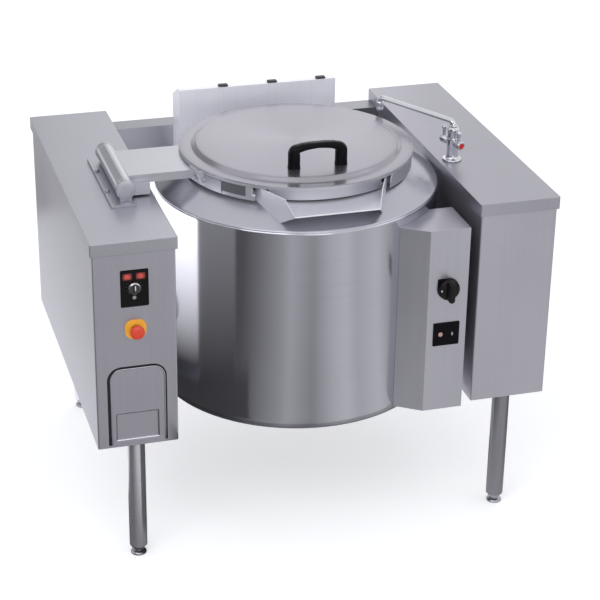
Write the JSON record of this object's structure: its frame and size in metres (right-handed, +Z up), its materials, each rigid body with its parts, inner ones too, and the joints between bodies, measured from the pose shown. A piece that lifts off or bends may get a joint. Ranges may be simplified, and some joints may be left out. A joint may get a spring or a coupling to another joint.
{
  "type": "tilting cooking kettle",
  "caption": "Gas-heated cooking kettle hung on trunnions between legged pillars, with a pouring spout, side-hinged lid, motor tilting, swivel mixer tap and front controls.",
  "frame": {"origin": "on the floor, under the middle of the bounding box", "axes": "+X from the left pillar to the right one, +Y from the front to the back, +Z up"},
  "size_m": [1.4, 1.09, 1.2102],
  "materials": {
    "casing_steel": "brushed",
    "cap_steel": "brushed",
    "back_steel": "satin",
    "frame_paint": "satin",
    "beam_steel": "satin",
    "leg_steel": "satin",
    "foot_steel": "satin",
    "panel_steel": "brushed",
    "control_black": "gloss",
    "display_red": "gloss",
    "knob_grey": "satin",
    "stop_yellow": "satin",
    "stop_red": "gloss",
    "board_green": "matte",
    "hinge_steel": "satin",
    "pin_steel": "polished",
    "barrel_steel": "polished",
    "arm_steel": "brushed",
    "lid_steel": "brushed",
    "skirt_steel": "satin",
    "seal_rubber": "matte",
    "handle_black": "satin",
    "shell_steel": "brushed",
    "shoulder_steel": "satin",
    "pan_steel": "satin",
    "lagging_wool": "matte",
    "burner_iron": "matte",
    "spout_steel": "brushed",
    "flue_steel": "brushed",
    "cowl_black": "matte",
    "box_steel": "brushed",
    "box_black": "satin",
    "switch_black": "gloss",
    "lamp_clear": "gloss",
    "valve_brass": "satin",
    "shaft_steel": "satin",
    "bearing_iron": "satin",
    "gearbox_iron": "satin",
    "wheel_bronze": "satin",
    "motor_paint": "satin",
    "tap_chrome": "polished"
  },
  "bodies": {
    "frame": {"left_casing": "casing_steel", "left_cap": "cap_steel", "left_back_panel": "back_steel", "left_frame": "frame_paint", "right_casing": "casing_steel", "right_cap": "cap_steel", "right_back_panel": "back_steel", "right_frame": "frame_paint", "rear_beam": "beam_steel", "front_left_leg": "leg_steel", "front_right_leg": "leg_steel", "rear_left_leg": "leg_steel", "rear_right_leg": "leg_steel", "service_panel": "panel_steel", "control_plate": "control_black", "displays": "display_red", "stop_plate": "stop_yellow", "control_board": "board_green", "hinge_base": "hinge_steel", "hinge_pin": "pin_steel", "hinge_spring": "pin_steel", "flue_box": "flue_steel", "flue_cowls": "cowl_black", "left_bearing": "bearing_iron", "right_bearing": "bearing_iron", "gearbox": "gearbox_iron", "tilt_motor": "motor_paint", "tap_body": "tap_chrome"},
    "kettle": {"kettle_shell": "shell_steel", "kettle_top": "shoulder_steel", "kettle_pan": "pan_steel", "pan_bottom": "pan_steel", "kettle_bottom": "shell_steel", "kettle_lagging": "lagging_wool", "burner": "burner_iron", "spout": "spout_steel", "control_box": "box_steel", "control_box_plates": "box_black", "box_lamps": "lamp_clear", "gas_valve": "valve_brass", "left_trunnion": "shaft_steel", "right_trunnion": "shaft_steel", "worm_wheel": "wheel_bronze"},
    "lid": {"lid_barrel": "barrel_steel", "lid_arm": "arm_steel", "lid_disc": "lid_steel", "lid_skirt": "skirt_steel", "lid_seal": "seal_rubber", "lid_handle": "handle_black"},
    "front_left_foot_body": {"front_left_foot": "foot_steel"},
    "front_right_foot_body": {"front_right_foot": "foot_steel"},
    "rear_left_foot_body": {"rear_left_foot": "foot_steel"},
    "rear_right_foot_body": {"rear_right_foot": "foot_steel"},
    "control_knob_body": {"control_knob": "knob_grey"},
    "stop_button_body": {"stop_button": "stop_red"},
    "power_switch_body": {"power_switch": "switch_black"},
    "worm_body": {"worm_shaft": "shaft_steel"},
    "tap_spout_body": {"tap_spout": "tap_chrome"},
    "hot_handle_body": {"hot_handle": "tap_chrome"},
    "cold_handle_body": {"cold_handle": "tap_chrome"}
  },
  "joints": [
    {"name": "kettle_tilt", "type": "hinge", "parent": "frame", "child": "kettle", "pos_m": [0, -0.105, 0.6535], "axis": [1, 0, 0], "range_deg": [0, 90]},
    {"name": "lid_open", "type": "hinge", "parent": "frame", "child": "lid", "pos_m": [-0.541, -0.074, 1.09], "axis": [0, -1, 0], "range_deg": [0, 99]},
    {"name": "worm_turn", "type": "hinge", "parent": "frame", "child": "worm_body", "pos_m": [0.5644, -0.105, 0.5453], "axis": [0, 1, 0], "range_deg": [0, 3600]},
    {"name": "control_knob_turn", "type": "hinge", "parent": "frame", "child": "control_knob_body", "pos_m": [-0.575, -0.499, 0.903], "axis": [0, 1, 0], "range_deg": [0, 270]},
    {"name": "stop_push", "type": "slide", "parent": "frame", "child": "stop_button_body", "axis": [0, 1, 0], "range_m": [0, 0.005]},
    {"name": "power_switch_turn", "type": "hinge", "parent": "kettle", "child": "power_switch_body", "pos_m": [0.361, -0.505, 0.793], "axis": [0, 1, 0], "range_deg": [0, 90]},
    {"name": "tap_swivel", "type": "hinge", "parent": "frame", "child": "tap_spout_body", "pos_m": [0.494, -0.142, 1.158], "axis": [0, 0, 1], "range_deg": [-100, 0]},
    {"name": "hot_turn", "type": "hinge", "parent": "frame", "child": "hot_handle_body", "pos_m": [0.494, -0.142, 1.108], "axis": [0.2419, -0.9703, 0], "range_deg": [0, 80]},
    {"name": "cold_turn", "type": "hinge", "parent": "frame", "child": "cold_handle_body", "pos_m": [0.494, -0.142, 1.108], "axis": [-0.3746, 0.9272, 0], "range_deg": [0, 80]},
    {"name": "front_left_foot_turn", "type": "hinge", "parent": "frame", "child": "front_left_foot_body", "pos_m": [-0.575, -0.453, 0.03], "axis": [0, 0, 1], "continuous": true},
    {"name": "front_right_foot_turn", "type": "hinge", "parent": "frame", "child": "front_right_foot_body", "pos_m": [0.575, -0.453, 0.03], "axis": [0, 0, 1], "continuous": true},
    {"name": "rear_left_foot_turn", "type": "hinge", "parent": "frame", "child": "rear_left_foot_body", "pos_m": [-0.575, 0.493, 0.03], "axis": [0, 0, 1], "continuous": true},
    {"name": "rear_right_foot_turn", "type": "hinge", "parent": "frame", "child": "rear_right_foot_body", "pos_m": [0.575, 0.493, 0.03], "axis": [0, 0, 1], "continuous": true}
  ],
  "couplings": [
    {"joint": "lid_open", "follows": "kettle_tilt", "ratio": 1.1},
    {"joint": "worm_turn", "follows": "kettle_tilt", "ratio": 40}
  ]
}
